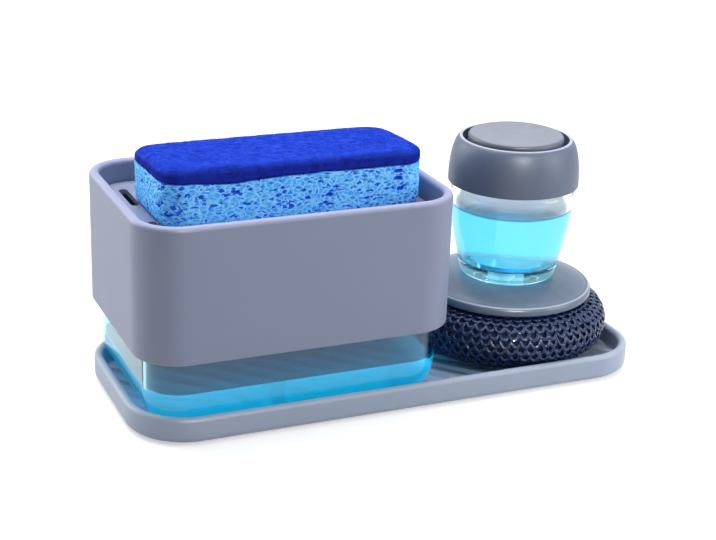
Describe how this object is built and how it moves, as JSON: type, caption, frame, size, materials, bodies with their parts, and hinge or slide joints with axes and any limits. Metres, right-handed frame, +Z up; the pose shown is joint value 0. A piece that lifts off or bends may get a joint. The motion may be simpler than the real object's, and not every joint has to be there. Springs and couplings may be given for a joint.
{
  "type": "soap pump caddy",
  "caption": "Drip tray holding a press-top soap dispenser with a sponge on its plate, and a soap-filled palm scrubber with a knitted scouring pad.",
  "frame": {"origin": "centre of the drip tray's footprint, on the surface the feet stand on", "axes": "+X along the tray from the dispenser to the scrubber, +Y to the back, +Z up"},
  "size_m": [0.2464, 0.103, 0.1137],
  "materials": {
    "housing_plastic": "satin",
    "tray_plastic": "satin",
    "plate_plastic": "satin",
    "pale_plastic": "gloss",
    "cap_plastic": "satin",
    "button_plastic": "satin",
    "disc_plastic": "satin",
    "clear_plastic": "clear gloss",
    "blue_soap": "wet",
    "cyan_soap": "wet",
    "silicone": "satin",
    "foot_rubber": "matte",
    "spring_steel": "bright",
    "cellulose": "porous",
    "scouring_fibre": "rough fibre",
    "mesh_yarn": "knitted, slightly shiny"
  },
  "bodies": {
    "tray": {"drip_tray": "tray_plastic", "tray_feet": "foot_rubber"},
    "tank": {"soap_tank": "clear_plastic", "tank_soap": "blue_soap"},
    "housing": {"pump_housing": "housing_plastic", "tank_seal": "silicone", "pump_barrel": "clear_plastic", "barrel_gasket": "silicone", "pump_collar": "pale_plastic", "dip_tube": "clear_plastic", "pump_spring": "spring_steel"},
    "press": {"press_plate": "plate_plastic", "pump_stem": "pale_plastic", "pump_piston": "silicone"},
    "sponge": {"sponge_body": "cellulose", "scour_pad": "scouring_fibre"},
    "inlet_check": {"inlet_ball": "spring_steel"},
    "outlet_check": {"outlet_ball": "spring_steel"},
    "scrubber": {"soap_bottle": "clear_plastic", "bottle_soap": "cyan_soap", "outlet_valve": "silicone", "scrubber_disc": "disc_plastic", "clamp_nut": "disc_plastic", "mesh_scourer": "mesh_yarn"},
    "cap_seal": {"cap_gasket": "silicone"},
    "cap": {"scrubber_cap": "cap_plastic", "umbrella_valve": "silicone", "button_spring": "spring_steel"},
    "button": {"push_button": "button_plastic", "air_piston": "silicone"}
  },
  "joints": [
    {"name": "tank_lift", "type": "slide", "parent": "tray", "child": "tank", "axis": [0, 0, 1], "range_m": [0, 0.06]},
    {"name": "housing_lift", "type": "slide", "parent": "tank", "child": "housing", "axis": [0, 0, 1], "range_m": [0, 0.07]},
    {"name": "plate_press", "type": "slide", "parent": "housing", "child": "press", "axis": [0, 0, -1], "range_m": [0, 0.009], "stiffness_N_per_m": 400, "springref_m": -0.012, "deforming": ["pump_spring"]},
    {"name": "sponge_lift", "type": "slide", "parent": "press", "child": "sponge", "axis": [0, 0, 1], "range_m": [0, 0.06]},
    {"name": "inlet_ball_lift", "type": "slide", "parent": "housing", "child": "inlet_check", "axis": [0, 0, 1], "range_m": [0, 0.0015]},
    {"name": "outlet_ball_lift", "type": "slide", "parent": "press", "child": "outlet_check", "axis": [0, 0, 1], "range_m": [0, 0.0015]},
    {"name": "scrubber_lift", "type": "slide", "parent": "tray", "child": "scrubber", "axis": [0, 0, 1], "range_m": [0, 0.07]},
    {"name": "cap_rise", "type": "slide", "parent": "scrubber", "child": "cap_seal", "axis": [0, 0, 1], "range_m": [0, 0.0061]},
    {"name": "cap_turn", "type": "hinge", "parent": "cap_seal", "child": "cap", "pos_m": [0.0724, 0, 0.0963], "axis": [0, 0, 1], "range_deg": [0, 540]},
    {"name": "button_press", "type": "slide", "parent": "cap", "child": "button", "axis": [0, 0, -1], "range_m": [0, 0.005], "stiffness_N_per_m": 300, "springref_m": -0.006, "deforming": ["button_spring"]}
  ],
  "couplings": [
    {"joint": "cap_rise", "follows": "cap_turn", "m_per_rad": 0.00063662}
  ]
}
